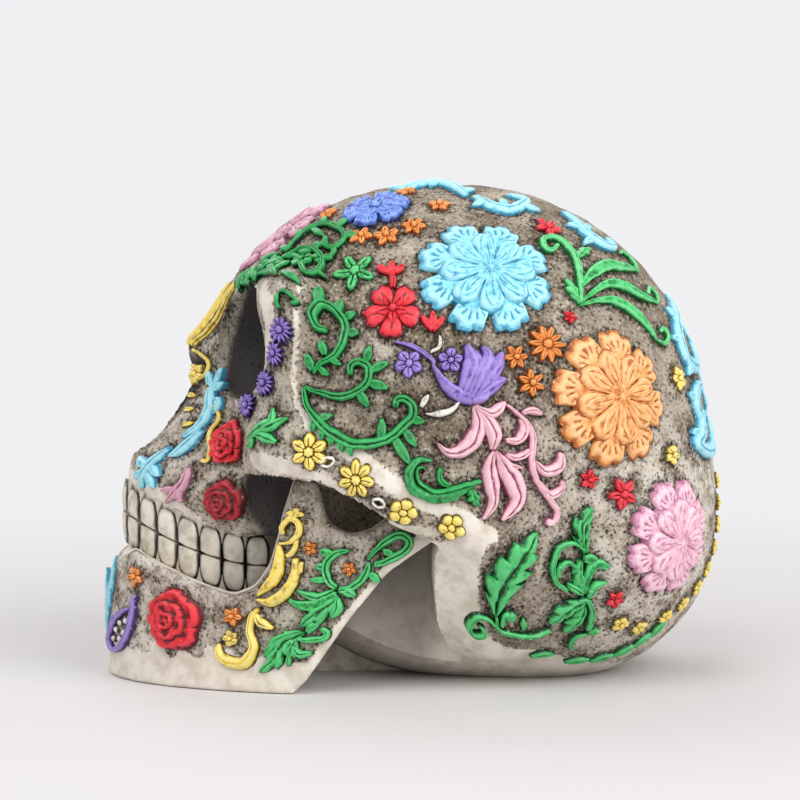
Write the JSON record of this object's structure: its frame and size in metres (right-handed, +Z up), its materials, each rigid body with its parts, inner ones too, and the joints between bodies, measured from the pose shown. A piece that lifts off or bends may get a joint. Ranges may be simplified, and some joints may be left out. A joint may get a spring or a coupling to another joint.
{
  "type": "sugar skull ornament",
  "caption": "Near life-size decorative skull cast in stone-look resin, with clenched teeth and painted relief flowers, leaves and scrolls; it stands on its flat underside.",
  "frame": {"origin": "on the surface the skull stands on, under the middle of its bounding box", "axes": "+Z up; the face looks along -Y; the skull's own left side is +X"},
  "size_m": [0.1346, 0.1788, 0.1411],
  "materials": {
    "resin": "cast polyresin, matt pitted stone look, taupe wash over cream",
    "ivory": "cast polyresin, ivory paint with a grey-brown wash",
    "sky_blue": "satin sky blue paint over resin relief",
    "orange": "satin orange paint over resin relief",
    "pink": "satin pink paint over resin relief",
    "red": "satin red paint over resin relief",
    "purple": "satin lilac paint over resin relief",
    "green": "satin green paint over resin relief",
    "yellow": "satin yellow paint over resin relief"
  },
  "bodies": {
    "root": {"cranium": "resin", "mandible": "resin", "web": "resin", "base_plug": "resin", "upper_teeth": "ivory", "lower_teeth": "ivory", "left_crown_flower_petals": "sky_blue", "right_crown_flower_petals": "sky_blue", "left_crown_flower_heart": "sky_blue", "right_crown_flower_heart": "sky_blue", "back_scroll": "sky_blue", "chin_drop": "sky_blue", "left_parietal_flower_petals": "orange", "right_parietal_flower_petals": "orange", "left_parietal_flower_heart": "orange", "right_parietal_flower_heart": "orange", "left_nape_flower_petals": "pink", "right_nape_flower_petals": "pink", "left_nape_flower_heart": "pink", "right_nape_flower_heart": "pink", "left_pink_leaves": "pink", "right_pink_leaves": "pink", "left_pink_tendril": "pink", "right_pink_tendril": "pink", "forehead_flower_petals": "pink", "forehead_flower_heart": "pink", "left_cheek_rose": "red", "right_cheek_rose": "red", "left_lip_rose": "red", "right_lip_rose": "red", "left_chin_rose": "red", "right_chin_rose": "red", "left_temple_orchid": "red", "right_temple_orchid": "red", "left_bell_flower": "purple", "right_bell_flower": "purple", "left_temple_sprig": "green", "right_temple_sprig": "green", "left_temple_garland": "green", "right_temple_garland": "green", "left_arch_scroll": "green", "right_arch_scroll": "green", "left_palm_fronds": "green", "right_palm_fronds": "green", "left_mastoid_leaf": "green", "right_mastoid_leaf": "green", "left_nape_scroll": "green", "right_nape_scroll": "green", "left_brow_crest": "green", "right_brow_crest": "green", "left_jaw_acanthus": "green", "right_jaw_acanthus": "green", "left_jaw_leaf": "green", "right_jaw_leaf": "green", "left_jaw_scroll": "yellow", "right_jaw_scroll": "yellow", "left_jaw_hook": "yellow", "right_jaw_hook": "yellow", "nose_plaque": "yellow"}
  },
  "joints": []
}
